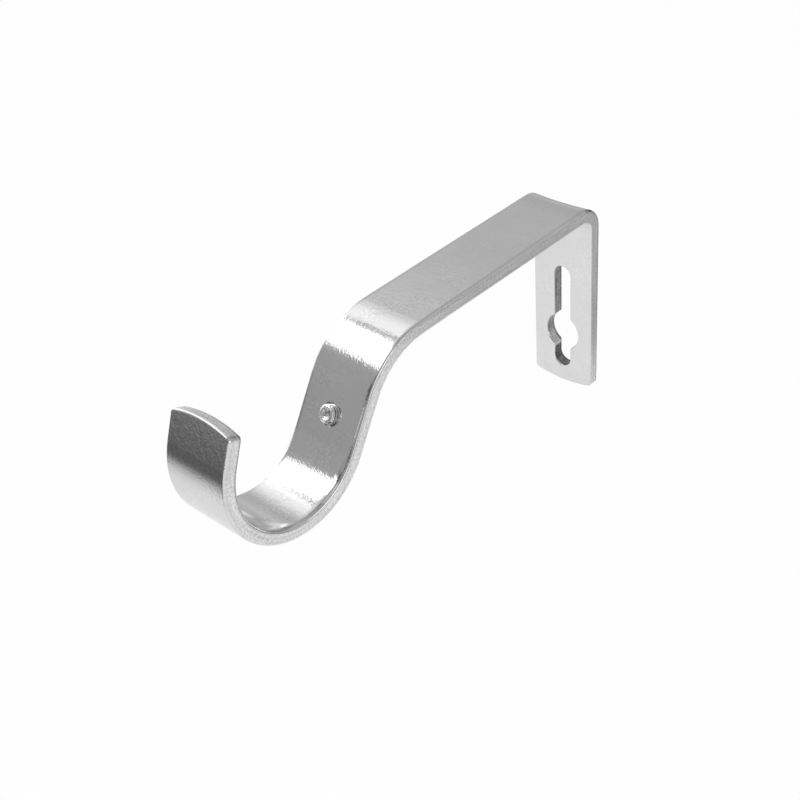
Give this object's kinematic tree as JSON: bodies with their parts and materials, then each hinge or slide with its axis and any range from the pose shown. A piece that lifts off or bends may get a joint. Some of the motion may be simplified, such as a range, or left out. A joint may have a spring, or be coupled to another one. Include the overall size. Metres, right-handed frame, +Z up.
{
  "type": "curtain pole bracket",
  "caption": "Folded steel strip bracket for a curtain pole: keyhole wall plate, arm, sloping leg and open hook, with a screw that grips the pole.",
  "frame": {"origin": "on the wall plane, at the centre of the keyhole's rounded upper end, where the wall screw sits when the bracket hangs on it", "axes": "+Z up, +Y into the wall so that the bracket stands out along -Y, X along the pole and across the strip"},
  "size_m": [0.016, 0.1103, 0.0478],
  "materials": {
    "strip_steel": "bright satin plated steel",
    "screw_steel": "bright plated steel"
  },
  "bodies": {
    "bracket": {"bracket_strip": "strip_steel"},
    "screw": {"lock_screw": "screw_steel"}
  },
  "joints": [
    {"name": "lock_screw_travel", "type": "slide", "parent": "bracket", "child": "screw", "axis": [0, -0.8536, 0.521], "range_m": [-0.002, 0.0014]}
  ]
}
